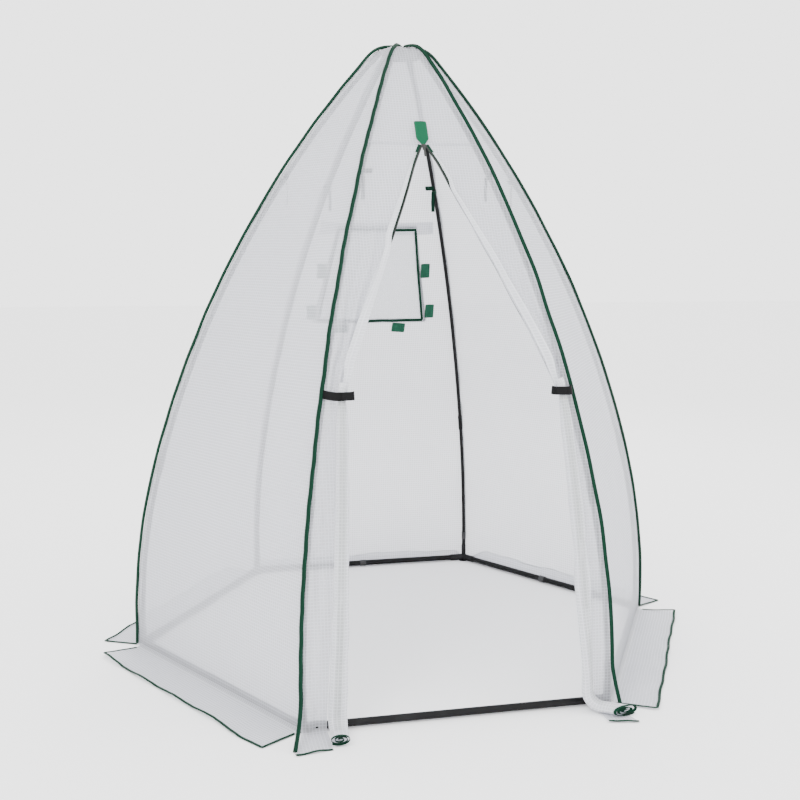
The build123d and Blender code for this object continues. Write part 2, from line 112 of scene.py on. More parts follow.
TABS_IN = -0.0062
TAB_REACH = 0.075  # longer than a window tab's diagonal and shorter than the gaps between tabs
ZIP_PITCH = 0.0032

# Colours, linear
CLOTH_WHITE = (0.59, 0.60, 0.64, 1)
TAPE_GREEN = (0.001, 0.019, 0.0095, 1)
PATCH_GREEN = (0.003, 0.066, 0.03, 1)
TAB_GREEN = (0.012, 0.066, 0.038, 1)
THREAD_GREEN = (0.004, 0.045, 0.022, 1)
BLACK = (0.003, 0.003, 0.0034, 1)


# ---------------------------------------------------------------- camera, floor and light


def add_camera():
    data = bpy.data.cameras.new("camera")
    data.lens = CAMERA_LENS
    data.shift_x = CAMERA_SHIFT
    camera = bpy.data.objects.new("camera", data)
    turn, rise = math.radians(CAMERA_TURN), math.radians(CAMERA_RISE)
    back = Vector((math.sin(turn) * math.cos(rise), -math.cos(turn) * math.cos(rise), math.sin(rise)))
    camera.location = Vector((0, 0, CAMERA_TARGET_Z)) + back * CAMERA_REACH
    camera.rotation_mode = "QUATERNION"
    camera.rotation_quaternion = (-back).to_track_quat("-Z", "Y")
    bpy.context.scene.collection.objects.link(camera)
    bpy.context.scene.camera = camera


def add_light(name, place, power):
    data = bpy.data.lights.new(name, "AREA")
    data.shape = "DISK"
    data.size = LIGHT_SIZE
    data.energy = power
    light = bpy.data.objects.new(name, data)
    light.location = place
    light.rotation_mode = "QUATERNION"
    light.rotation_quaternion = (Vector((0, 0, LIGHT_AIM_Z)) - Vector(place)).to_track_quat("-Z", "Y")
    bpy.context.scene.collection.objects.link(light)


def add_studio():
    world = bpy.data.worlds.new("studio")
    world.use_nodes = True
    background = world.node_tree.nodes["Background"]
    background.inputs["Color"].default_value = (1, 1, 1, 1)
    background.inputs["Strength"].default_value = WORLD_LIGHT
    bpy.context.scene.world = world
    for name, (place, power) in LIGHTS.items():
        add_light(name, place, power)


def add_floor():
    mesh = bpy.data.meshes.new("floor")
    corners = [(x * FLOOR_REACH, y * FLOOR_REACH, 0) for x, y in ((-1, -1), (1, -1), (1, 1), (-1, 1))]
    mesh.from_pydata(corners, [], [(0, 1, 2, 3)])
    floor = bpy.data.objects.new("floor", mesh)
    bpy.context.scene.collection.objects.link(floor)
    floor.location.z = -FLOOR_DROP
    tree = new_material("floor_paint")
    patchy = node(tree, "TexNoise", {}, {"Scale": 3.0, "Detail": 3.0}).outputs["Fac"]
    shade = ramp(tree, patchy, 0.0, 1.0, 0.92, 0.94)
    colour = node(tree, "CombineColor", {}, {"Red": shade, "Green": shade, "Blue": shade})
    surface = node(tree, "BsdfPrincipled", {}, {"Base Color": colour.outputs[0], "Roughness": 0.75})
    finish_material(tree, surface)
    mesh.materials.append(bpy.data.materials["floor_paint"])


# ---------------------------------------------------------------- materials


def new_material(name):
    material = bpy.data.materials.new(name)
    material.use_nodes = True
    material.node_tree.nodes.clear()
    return material.node_tree


def node(tree, kind, settings, inputs):
    """New shader node. An input's value is a number, a colour or an output to link."""
    made = tree.nodes.new("ShaderNode" + kind)
    for key, value in settings.items():
        setattr(made, key, value)
    for key, value in inputs.items():
        if isinstance(value, bpy.types.NodeSocket):
            tree.links.new(value, made.inputs[key])
        else:
            made.inputs[key].default_value = value
    return made


def math_node(tree, operation, *values):
    return node(tree, "Math", {"operation": operation}, dict(enumerate(values))).outputs[0]


def finish_material(tree, surface):
    output = tree.nodes.new("ShaderNodeOutputMaterial")
    tree.links.new(surface.outputs[0], output.inputs["Surface"])


def ramp(tree, value, low, high, first=0.0, last=1.0, curve="LINEAR"):
    """Runs from first to last as the value runs from low to high."""
    ends = {"Value": value, "From Min": low, "From Max": high, "To Min": first, "To Max": last}
    return node(tree, "MapRange", {"interpolation_type": curve}, ends).outputs[0]


def noise(tree, place, scale, detail, **more):
    sockets = {"Vector": place, "Scale": scale, "Detail": detail, **more}
    return node(tree, "TexNoise", {}, sockets).outputs["Fac"]


def stripes(tree, coordinate, pitch, width):
    """1 on thin lines every pitch along a coordinate, 0 between them."""
    cell = math_node(tree, "MULTIPLY", coordinate, 1 / pitch)
    fold = math_node(tree, "PINGPONG", cell, 0.5)
    return ramp(tree, fold, 0.0, width, 1.0, 0.0, "SMOOTHSTEP")


def weave(tree, across, along, pitch, width):
    """1 on a grid of threads."""
    return math_node(tree, "MAXIMUM", stripes(tree, across, pitch, width), stripes(tree, along, pitch, width))


def lighter(colour, share):
    """Worn shade of a dark colour."""
    return tuple(min(1.0, share * c + 0.002) for c in colour[:3]) + (1,)


def uv_axes(tree):
    uv = node(tree, "UVMap", {"uv_map": "UVMap"}, {})
    axes = node(tree, "SeparateXYZ", {}, {"Vector": uv.outputs[0]})
    return uv.outputs[0], axes.outputs[0], axes.outputs[1]


def bump(tree, height, strength, distance):
    return node(tree, "Bump", {}, {"Height": height, "Strength": strength, "Distance": distance}).outputs[0]


def mix_colour(tree, share, first, second):
    mixed = node(tree, "Mix", {"data_type": "RGBA"}, {0: share, 6: first, 7: second})
    return mixed.outputs[2]


def cloth_material(name, film, thread, glow=0.42, colour=CLOTH_WHITE):
    """See-through woven film: clear between its threads, milky along them, with a soft sheen and creases."""
    tree = new_material(name)
    uv, across, along = uv_axes(tree)
    lattice = weave(tree, across, along, THREAD_PITCH, 0.2)
    clouds = noise(tree, uv, 5.0, 4.0, Roughness=0.6)
    creases = noise(tree, uv, 38.0, 5.0, Distortion=0.6)
    haze = ramp(tree, clouds, 0.3, 0.7, film - 0.05, film + 0.05)
    veil = math_node(tree, "MULTIPLY", math_node(tree, "SUBTRACT", thread, haze), lattice)
    opacity = math_node(tree, "ADD", haze, veil)
    dull = tuple(0.93 * c for c in colour[:3]) + (1,)
    tint = mix_colour(tree, lattice, dull, colour)
    height = math_node(tree, "ADD", math_node(tree, "MULTIPLY", lattice, 0.35), creases)
    normal = bump(tree, height, 0.25, 0.002)
    gloss = {"Roughness": 0.42, "Specular IOR Level": 0.4, "Sheen Weight": 0.15, "Sheen Roughness": 0.4}
    front = node(tree, "BsdfPrincipled", {}, {"Base Color": tint, "Normal": normal, **gloss})
    back = node(tree, "BsdfTranslucent", {}, {"Color": tint, "Normal": normal})
    body = node(tree, "MixShader", {}, {0: glow, 1: front.outputs[0], 2: back.outputs[0]})
    clear = node(tree, "BsdfTransparent", {}, {"Color": (0.985, 0.985, 1.0, 1)})
    surface = node(tree, "MixShader", {}, {0: opacity, 1: clear.outputs[0], 2: body.outputs[0]})
    finish_material(tree, surface)
    return bpy.data.materials[name]


def screen_material(name):
    """Fine woven insect mesh."""
    tree = new_material(name)
    uv, across, along = uv_axes(tree)
    lattice = weave(tree, across, along, SCREEN_PITCH, 0.24)
    colour = mix_colour(tree, noise(tree, uv, 60.0, 3.0), (0.7, 0.72, 0.75, 1), (0.88, 0.9, 0.92, 1))
    normal = bump(tree, lattice, 0.4, 0.0006)
    threads = node(tree, "BsdfPrincipled", {}, {"Base Color": colour, "Roughness": 0.6, "Normal": normal})
    clear = node(tree, "BsdfTransparent", {}, {})
    opacity = math_node(tree, "ADD", math_node(tree, "MULTIPLY", lattice, 0.75), 0.12)
    mixed = {0: opacity, 1: clear.outputs[0], 2: threads.outputs[0]}
    finish_material(tree, node(tree, "MixShader", {}, mixed))
    return bpy.data.materials[name]


def tape_material(name, colour, rib=0.0011, thread=None, edge=0.0042, roughness=0.62):
    """Woven tape: ribs along its length and, with a thread colour, a row of stitches near each edge.
    The tape's UV runs across from its middle and along, in metres."""
    tree = new_material(name)
    uv, across, along = uv_axes(tree)
    wefts = stripes(tree, along, rib, 0.45)
    ribs = math_node(tree, "MULTIPLY", wefts, stripes(tree, across, rib * 1.6, 0.48))
    fuzz = noise(tree, uv, 420.0, 3.0)
    wear = noise(tree, uv, 14.0, 4.0)
    shade = mix_colour(tree, math_node(tree, "MULTIPLY", wear, ribs), colour, lighter(colour, 1.7))
    height = math_node(tree, "ADD", ribs, math_node(tree, "MULTIPLY", fuzz, 0.6))
    if thread is not None:
        side = math_node(tree, "ABSOLUTE", across)
        away = math_node(tree, "ABSOLUTE", math_node(tree, "SUBTRACT", side, edge))
        row = math_node(tree, "LESS_THAN", away, 0.0005)
        run = math_node(tree, "MULTIPLY", along, 1 / STITCH_PITCH)
        dash = math_node(tree, "LESS_THAN", math_node(tree, "FRACT", run), 0.68)
        stitch = math_node(tree, "MULTIPLY", row, dash)
        shade = mix_colour(tree, stitch, shade, thread)
        height = math_node(tree, "ADD", height, math_node(tree, "MULTIPLY", stitch, 1.5))
    look = {"Base Color": shade, "Roughness": roughness, "Normal": bump(tree, height, 0.5, 0.0006)}
    gloss = {"Sheen Weight": 0.01, "Specular IOR Level": 0.08}
    finish_material(tree, node(tree, "BsdfPrincipled", {}, {**look, **gloss}))
    return bpy.data.materials[name]


def coated_material(name, colour, roughness, grain, depth, coat=0.0):
    """Powder-coated or moulded surface: fine grain, faint scuffs and slightly uneven gloss."""
    tree = new_material(name)
    place = node(tree, "TexCoord", {}, {}).outputs["Object"]
    fine = noise(tree, place, grain, 2.0)
    scuff = noise(tree, place, 18.0, 6.0, Distortion=1.2)
    rough = ramp(tree, scuff, 0.35, 0.7, roughness - 0.06, roughness + 0.1)
    shade = mix_colour(tree, ramp(tree, scuff, 0.55, 0.8), colour, lighter(colour, 1.8))
    look = {"Base Color": shade, "Roughness": rough, "Normal": bump(tree, fine, 0.25, depth)}
    gloss = {"Coat Weight": coat, "Specular IOR Level": 0.1}
    finish_material(tree, node(tree, "BsdfPrincipled", {}, {**look, **gloss}))
    return bpy.data.materials[name]


def loop_material(name):
    """Loops and wraps on the poles: green tape for the high tie loops, black for the low wraps."""
    tree = new_material(name)
    place = node(tree, "TexCoord", {}, {}).outputs["Object"]
    height = node(tree, "SeparateXYZ", {}, {"Vector": place}).outputs[2]
    high = math_node(tree, "GREATER_THAN", height, 1.0)
    fibres = noise(tree, place, 900.0, 2.0)
    green = mix_colour(tree, fibres, TAPE_GREEN, THREAD_GREEN)
    black = mix_colour(tree, fibres, BLACK, (0.05, 0.05, 0.052, 1))
    shade = mix_colour(tree, high, black, green)
    look = {"Base Color": shade, "Roughness": 0.8, "Normal": bump(tree, fibres, 0.6, 0.0008)}
    finish_material(tree, node(tree, "BsdfPrincipled", {}, look))
    return bpy.data.materials[name]


# ---------------------------------------------------------------- mesh helpers


def link_mesh(name, points, faces, corner_uv, material):
    used, faces = np.unique(faces, return_inverse=True)
    faces = faces.reshape(-1, 4)
    mesh = bpy.data.meshes.new(name)
    mesh.from_pydata(points[used].tolist(), [], faces.tolist())
    layer = mesh.uv_layers.new(name="UVMap")
    layer.data.foreach_set("uv", corner_uv.ravel())
    mesh.polygons.foreach_set("use_smooth", np.ones(len(faces), bool))
    mesh.materials.append(material)
    made = bpy.data.objects.new(name, mesh)
    bpy.context.scene.collection.objects.link(made)
    return made


def cloth_grid(name, points, uv, material, hole=None):
    """Single layer of cloth over a grid of points. hole marks the cells that are left out."""
    rows, cols = points.shape[:2]
    index = np.arange(rows * cols).reshape(rows, cols)
    quads = np.stack([index[:-1, :-1], index[:-1, 1:], index[1:, 1:], index[1:, :-1]], -1)
    if hole is not None:
        quads = quads[~hole]
    quads = quads.reshape(-1, 4)
    return link_mesh(name, points.reshape(-1, 3), quads, uv.reshape(-1, 2)[quads], material)


def loft(name, rings, uv, material):
    """Closed skin over rings of points, with flat ends. uv has one column more than a ring has points."""
    rows, cols = rings.shape[:2]
    index = np.arange(rows * cols).reshape(rows, cols)
    after = np.roll(index, -1, axis=1)
    quads = np.stack([index[:-1], after[:-1], after[1:], index[1:]], -1).reshape(-1, 4)
    uv_quads = np.stack([uv[:-1, :-1], uv[:-1, 1:], uv[1:, 1:], uv[1:, :-1]], -2).reshape(-1, 4, 2)
    caps, cap_uv = [], []
    for row, flip in ((0, True), (rows - 1, False)):
        for c in range(cols // 2 - 1):
            cell = [index[row, c], index[row, c + 1], index[row, cols - 2 - c], index[row, cols - 1 - c]]
            where = [uv[row, c], uv[row, c + 1], uv[row, cols - 2 - c], uv[row, cols - 1 - c]]
            caps.append(cell[::-1] if flip else cell)
            cap_uv.append(where[::-1] if flip else where)
    faces = np.concatenate([quads, np.array(caps)])
    corner_uv = np.concatenate([uv_quads, np.array(cap_uv)])
    return link_mesh(name, rings.reshape(-1, 3), faces, corner_uv, material)


def lengths(path):
    return np.concatenate([[0], np.cumsum(np.linalg.norm(np.diff(path, axis=0), axis=1))])


def unit(v):
    return v / np.linalg.norm(v, axis=-1, keepdims=True)


def tape(name, path, wide, width, thick, material, crown=0.5, end_round=0.0):
    """Flat tape along a path: wide is its width's direction and width its width at each point, crown how far
    its middle bulges and end_round the radius of its corners."""
    path, wide = np.asarray(path, float), np.asarray(wide, float)
    if wide.ndim == 1:
        wide = np.tile(wide, (len(path), 1))
    width = np.broadcast_to(width, len(path)).astype(float)
    if end_round:
        along = lengths(path)
        from_end = np.minimum(along, along[-1] - along)
        short = np.clip(end_round - from_end, 0, end_round)
        width = width - 2 * (end_round - np.sqrt(end_round**2 - short**2))
    along = unit(np.gradient(path, axis=0))
    wide = unit(wide - (wide * along).sum(1, keepdims=True) * along)
    out = np.cross(wide, along)
    across = np.array([-1, -0.92, -0.6, 0, 0.6, 0.92, 1, 0.92, 0.6, 0, -0.6, -0.92]) / 2
    swell = 1 + crown
    lift = np.array([0, 0.7, 0.95, swell, 0.95, 0.7, 0, -0.5, -0.5, -0.5, -0.5, -0.5]) / 2
    side = (across * width[:, None])[..., None] * wide[:, None]
    rings = path[:, None] + side + lift[None, :, None] * thick * out[:, None]
    u = np.append(across, across[0]) * width[:, None]
    uv = flat_grid(u, lengths(path)[:, None])
    return loft(name, rings, uv, material)


def rounded(corners, radius, steps=6):
    """Path through corners with each one rounded by a curve of about that radius."""
    corners = [np.asarray(c, float) for c in corners]
    path = [corners[0]]
    for before, here, after in zip(corners, corners[1:], corners[2:]):
        reach = min(radius, np.linalg.norm(here - before) / 2.2, np.linalg.norm(after - here) / 2.2)
        start = here + unit(before - here) * reach
        end = here + unit(after - here) * reach
        for t in np.linspace(0, 1, steps):
            path.append((1 - t) ** 2 * start + 2 * t * (1 - t) * here + t**2 * end)
    path.append(corners[-1])
    return np.array(path)


def resample(path, step):
    along = lengths(path)
    at = np.linspace(0, along[-1], max(3, int(along[-1] / step)))
    return np.stack([np.interp(at, along, path[:, i]) for i in range(3)], 1)


def waves(seed, count, low, high):
    """Sum of sine waves in two directions, from -1 to 1 or so. low and high bound the wavelengths."""
    draw = np.random.default_rng(seed)
    turn = draw.uniform(0, math.pi, count)
    size = 2 * math.pi / np.exp(draw.uniform(math.log(low), math.log(high), count))
    phase = draw.uniform(0, 2 * math.pi, count)

    def value(x, y):
        total = 0
        for a, k, p in zip(turn, size, phase):
            total = total + np.sin(k * (np.cos(a) * x + np.sin(a) * y) + p)
        return total / math.sqrt(count)

    return value


def flat_grid(*axes):
    """Places on flat cloth, from their coordinates."""
    return np.stack(np.broadcast_arrays(*axes), -1)


# ---------------------------------------------------------------- the cover's surface, read from the frame


def side_axes(k):
    """Directions out of side k and along it."""
    turn = 2 * HALF_TURN * k
    return np.array([math.sin(turn), -math.cos(turn), 0]), np.array([math.cos(turn), math.sin(turn), 0])


def corner_dir(k):
    turn = -math.pi / 2 - HALF_TURN + 2 * HALF_TURN * k
    return np.array([math.cos(turn), math.sin(turn), 0])


def node_points(name):
    return np.array([v.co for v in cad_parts[name].data.vertices])


def slice_box(name, z):
    """Lowest and highest corner of a CAD node's section at a height."""
    points = node_points(name)
    ends = np.array([edge.vertices[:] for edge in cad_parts[name].data.edges])
    a, b = points[ends[:, 0]], points[ends[:, 1]]
    crossing = (a[:, 2] - z) * (b[:, 2] - z) < 0
    a, b = a[crossing], b[crossing]
    cut = a + (b - a) * ((z - a[:, 2]) / (b[:, 2] - a[:, 2]))[:, None]
    return cut.min(0), cut.max(0)


def read_profile(name, k, rays=360, step=0.006, soften=5):
    """Middle line of a gore's outer face from the ground to the crown: lengths, distances out and heights."""
    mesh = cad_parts[name].data
    tree = BVHTree.FromPolygons([v.co for v in mesh.vertices], [tuple(p.vertices) for p in mesh.polygons])
    out = Vector(side_axes(k)[0])
    far = 4.0
    found = []
    for angle in np.linspace(0.004, math.pi / 2 - 0.004, rays):
        ray = out * math.cos(angle) + Vector(UP) * math.sin(angle)
        hit = tree.ray_cast(ray * far, -ray)[0]
        if hit is not None:
            found.append((hit.dot(out), hit.z))
    line = np.array([(found[0][0], 0.0), *found, (0.0, found[-1][1])])
    along = lengths(line)
    at = np.linspace(0, along[-1], int(along[-1] / step))
    even = np.stack([np.interp(at, along, line[:, 0]), np.interp(at, along, line[:, 1])], 1)
    padded = np.concatenate([2 * even[:1] - even[soften:0:-1], even, 2 * even[-1:] - even[-2:-soften - 2:-1]])
    kernel = np.ones(2 * soften + 1) / (2 * soften + 1)
    smooth = np.stack([np.convolve(padded[:, i], kernel, "valid") for i in range(2)], 1)
    smooth[0] = even[0]
    smooth[-1] = even[-1]
    return lengths(smooth), smooth[:, 0], smooth[:, 1]


LINE_S, LINE_OUT, LINE_Z = read_profile("gore_left_back", 4)
LINE_TURN = unit(np.stack([np.gradient(LINE_Z), -np.gradient(LINE_OUT)], 1))
TOP_S = LINE_S[-1]
ZIP_TOP_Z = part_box("front_top_panel")[0].z


def out_at(s):
    return np.interp(s, LINE_S, LINE_OUT)


def height_at(s):
    return np.interp(s, LINE_S, LINE_Z)


def length_at(z):
    """Length up the middle line at which it reaches a height."""
    rising = np.maximum.accumulate(LINE_Z)
    return np.interp(z, rising, LINE_S)


def half_width(s):
    return out_at(s) * TAN_SIDE


def surface(k, s, x, out):
    """Points on side k's gore: s up its middle line, x across from its middle, moved out from its face."""
    s, x, out = np.broadcast_arrays(np.asarray(s, float), x, out)
    away, across = side_axes(k)
    n_out = np.interp(s, LINE_S, LINE_TURN[:, 0])
    n_up = np.interp(s, LINE_S, LINE_TURN[:, 1])
    reach = out_at(s) + out * n_out
    rise = height_at(s) + out * n_up
    return reach[..., None] * away + np.asarray(x)[..., None] * across + rise[..., None] * UP


def seam_point(k, s, out):
    """Points on the seam at corner k, moved out from it."""
    away = corner_dir(k)
    radius = out_at(s) / COS_SIDE
    slope_r, slope_z = np.gradient(LINE_OUT / COS_SIDE), np.gradient(LINE_Z)
    turn = unit(np.stack([slope_z, -slope_r], 1))
    n_r, n_z = np.interp(s, LINE_S, turn[:, 0]), np.interp(s, LINE_S, turn[:, 1])
    return (radius + out * n_r)[..., None] * away + (height_at(s) + out * n_z)[..., None] * UP


def drape(k, s, u):
    """How far the cloth of side k stands out at s and u, which is -1 and 1 at its seams."""
    inner = 1 - u**2
    rise = np.sin(math.pi * np.clip(s / TOP_S, 0, 1)) ** 0.8
    foot = np.clip((s - 0.05) / 0.25, 0, 1)
    slack = waves(40 + k, 7, 0.22, 0.6)(1.8 * u * half_width(s), 0.45 * s)
    folds = waves(60 + k, 9, 0.05, 0.16)(u * half_width(s), 0.3 * s)
    pucker = waves(80 + k, 9, 0.025, 0.07)(0.35 * u, s)
    near_seam = np.exp(-(1 - np.abs(u)) * half_width(s) / 0.03)
    return (
        -SAG * inner * rise
        + 0.0028 * slack * np.sqrt(inner) * foot
        + 0.0011 * folds * inner * foot
        + 0.0013 * pucker * near_seam * np.clip((1 - np.abs(u)) * 40, 0, 1) * foot
    )


# ---------------------------------------------------------------- cover


def make_gore(k, name, material):
    rows, cols = 190, 65
    s = np.linspace(CLOTH_FOOT, TOP_S, rows)[:, None]
    u = np.linspace(-1, 1, cols)[None, :]
    x = u * half_width(s)
    points = surface(k, s, x, CLOTH_IN + drape(k, s, u))
    uv = flat_grid(x, s)
    piece = cloth_grid(f"gore_{name}_cloth", points, uv, material)
    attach(piece, "frame")
    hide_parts(f"gore_{name}")


def window_edge():
    """Window opening in the back gore: heights of its foot and top, and half widths there."""
    foot_z, top_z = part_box("window_trim")[0].z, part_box("window_trim")[1].z
    low, high = slice_box("window_trim", foot_z + 0.03), slice_box("window_trim", top_z - 0.03)
    return foot_z, top_z, low[1][0], high[1][0]


def make_back_gore(material):
    k = 3
    foot_z, top_z, foot_half, top_half = window_edge()
    foot_half, top_half = foot_half - TRIM_LAP, top_half - TRIM_LAP
    low_s, high_s = length_at(foot_z + TRIM_LAP), length_at(top_z - TRIM_LAP)
    below, beside, above = (low_s, 88), (high_s, 32), (TOP_S, 74)
    s = np.array([CLOTH_FOOT])
    for end, rows in (below, beside, above):
        s = np.concatenate([s, np.linspace(s[-1], end, rows)[1:]])
    hole_half = np.interp(s, [0, low_s, high_s, TOP_S], [foot_half, foot_half, top_half, 0.0])
    share = np.minimum(hole_half / np.maximum(half_width(s), 1e-6), 0.6)[:, None]
    side = np.linspace(0, 1, 15)[None, :]
    middle = np.linspace(-1, 1, 27)[None, :]
    u = np.concatenate([-1 + side * (1 - share), share * middle[:, 1:-1], share + side * (1 - share)], 1)
    hole = np.zeros((len(s) - 1, u.shape[1] - 1), bool)
    row_mid = (s[:-1] + s[1:]) / 2
    hole[(row_mid > low_s) & (row_mid < high_s), 14:40] = True
    s = s[:, None]
    x = u * half_width(s)
    points = surface(k, s, x, CLOTH_IN + drape(k, s, u))
    uv = flat_grid(x, s)
    piece = cloth_grid("gore_back_cloth", points, uv, material, hole)
    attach(piece, "frame")
    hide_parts("gore_back")


def make_top_panel(material):
    rows, cols = 60, 49
    s = np.linspace(length_at(ZIP_TOP_Z), TOP_S, rows)[:, None]
    u = np.linspace(-1, 1, cols)[None, :]
    x = u * half_width(s)
    points = surface(0, s, x, CLOTH_IN + drape(0, s, u))
    piece = cloth_grid("front_top_cloth", points, flat_grid(x, s), material)
    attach(piece, "frame")
    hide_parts("front_top_panel")


def make_seam_bindings(material):
    """Green tape sewn over each seam. At the two door corners it turns out along the skirt's end."""
    made = []
    for k in range(SIDES):
        s = np.linspace(0.012, TOP_S - 0.012, 230)
        wobble = waves(100 + k, 6, 0.06, 0.3)
        path = seam_point(k, s, 0.0022 + 0.0006 * wobble(s, 0 * s))
        away = corner_dir(k)
        wide = np.cross(UP, away)
        path = path + 0.0011 * wobble(s + 3.0, 0 * s)[:, None] * wide
        if k < 2:
            kink_z = BINDING_KINK_Z[k]
            flare = np.array([*BINDING_FOOT[k], 0.004])
            knee = seam_point(k, np.array([length_at(kink_z)]), 0.003)[0]
            above = path[s > length_at(kink_z) + 0.01]
            shin = knee * 0.62 + flare * 0.38 + np.array([0, -0.004, -0.014])
            foot = rounded([flare, shin, knee, above[2]], 0.03)
            path = np.concatenate([resample(foot[:-1], 0.008), above[2:]])
        made.append(tape(f"seam_binding_{k + 1}", path, wide, BINDING_W, BINDING_T, material, crown=0.9))
        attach(made[-1], "frame")
    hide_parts("seam_binding")


def skirt_size(name, k):
    away, across = side_axes(k)
    points = node_points(name)
    return (points @ away).min(), (points @ away).max(), (points @ across).max()


def make_skirt(k, name, cloth, binding):
    """Flap on the ground outside a side, sewn to the foot of its gore, with tape round its free edges."""
    near, far, half = skirt_size(f"skirt_{name}", k)
    away, across = side_axes(k)
    foot_out = out_at(0) + CLOTH_IN
    ripple = waves(200 + k, 6, 0.12, 0.5)
    crinkle = waves(230 + k, 7, 0.03, 0.09)

    def place(w, v):
        """Point on the flap: w from the seam to the free edge, v along it from -1 to 1."""
        reach = foot_out + (far - foot_out) * w
        flare = 1 + 0.02 * w
        x = v * half * flare
        settle = np.exp(-(reach - foot_out) / 0.006)
        lift = 0.0048 * (1 + ripple(x, reach)) * np.clip(w, 0, 1) ** 1.3
        lift = lift + 0.0006 * (1 + crinkle(x, reach)) * w
        z = 0.0016 + 0.012 * settle + np.clip(lift, 0, 1) * np.clip((reach - near) / 0.03, 0, 1)
        reach = reach + 0.003 * ripple(x + 5, 0 * x) * w
        return reach[..., None] * away + x[..., None] * across + z[..., None] * UP

    w = np.concatenate([np.linspace(0, 0.12, 7)[:-1], np.linspace(0.12, 1, 18)])
    w, v = np.meshgrid(w, np.linspace(-1, 1, 90), indexing="ij")
    points = place(w, v)[:, ::-1]
    uv = np.stack([v * half, w * (far - foot_out)], -1)[:, ::-1]
    piece = cloth_grid(f"skirt_{name}_cloth", points, uv, cloth)
    rim_v = np.concatenate([np.full(12, -1.0), np.linspace(-1, 1, 100)[1:-1], np.full(12, 1.0)])
    rim_w = np.concatenate([np.linspace(0.12, 0.985, 12), np.full(98, 0.985), np.linspace(0.985, 0.12, 12)])
    rim = resample(place(rim_w, rim_v * 0.994), 0.007)
    inward = unit(np.cross(UP, np.gradient(rim, axis=0)))
    edge = tape(f"skirt_{name}_binding", rim + 0.0006 * UP, inward, EDGE_TAPE_W, EDGE_TAPE_T, binding)
    for made in (piece, edge):
        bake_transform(made)
    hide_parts(f"skirt_{name}")


# ---------------------------------------------------------------- door


def smooth(t):
    t = np.clip(t, 0, 1)
    return t * t * (3 - 2 * t)


def door_lines(name):
    """Heights up a door half, with the opening edge's distance from the middle and the width gathered."""
    roll, edge = f"door_roll_{name}", f"door_edge_{name}"
    rows = []
    spans = (
        (roll, ROLL_LOW_Z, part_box(roll)[1].z),
        (edge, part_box(edge)[0].z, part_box(edge)[1].z),
    )
    for label, low, high in spans:
        for z in np.linspace(low + 0.002, high - 0.002, 7):
            near, far = sorted(abs(corner[0]) for corner in slice_box(label, z))
            rows.append((z, near, far - near))
    rows.append((ZIP_TOP_Z, 0.0, 0.003))
    return np.array(rows).T


class Door:
    """One half of the door at rest, with distances from the middle counted positive."""

    def __init__(self, name):
        self.name = name
        self.sign = -1 if name == "left" else 1
        self.z, self.edge, self.gather = door_lines(name)
        self.tie_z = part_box(f"door_roll_{name}")[1].z
        self.tail_end = self.find_tail()

    def find_tail(self):
        """Middle of the far end of the roll's foot on the ground."""
        points = node_points(f"door_roll_{self.name}")
        points = points[points[:, 2] < ROLL_LOW_Z]
        base = np.array([self.sign * (self.edge[0] + self.gather[0] / 2), -out_at(0)])
        away = np.linalg.norm(points[:, :2] - base, axis=1)
        return points[away > 0.97 * away.max()][:, :2].mean(0)

    def open_x(self, z):
        down = np.clip((ZIP_TOP_Z - z) / (ZIP_TOP_Z - self.tie_z), 0, 1)
        sway = waves(290 + self.sign, 4, 0.16, 0.4)(0 * down, z)
        bow = EDGE_BOW[self.name] + 0.0022 * sway
        return np.interp(z, self.z, self.edge) + bow * np.sin(math.pi * down)

    def cloth_x(self, z):
        """Edge of the cloth, which leaves the zip's teeth and half its tape bare near the top."""
        return self.open_x(z) + ZIP_TAPE_BARE * (1 - self.zip_turned(z))

    def zip_turned(self, z):
        """0 where the zip shows outside and 1 where it is turned in behind the cloth."""
        return smooth((ZIP_BARE_Z[self.name] - z) / 0.05)

    def gather_w(self, z):
        return np.interp(z, self.z, self.gather)

    def pole(self):
        return "pole_upper_1" if self.sign < 0 else "pole_upper_2"

    def flip(self, points):
        """Columns run from left to right as seen from outside, so that the cloth faces out."""
        return points if self.sign < 0 else points[:, ::-1]


def swing_line(door):
    """Direction in the open gore's chord plane from the opening edge to the seam, and the zip's top."""
    top = np.array([0, -out_at(length_at(ZIP_TOP_Z)), ZIP_TOP_Z])
    tie = surface(0, length_at(door.tie_z), door.sign * door.open_x(door.tie_z), 0.0)
    normal = np.cross(np.array([1.0, 0, 0]), tie * np.array([0, 1, 1]) - top)
    to_seam = unit(np.cross(tie - top, normal))
    return top, to_seam * (1 if to_seam[0] * door.sign > 0 else -1)


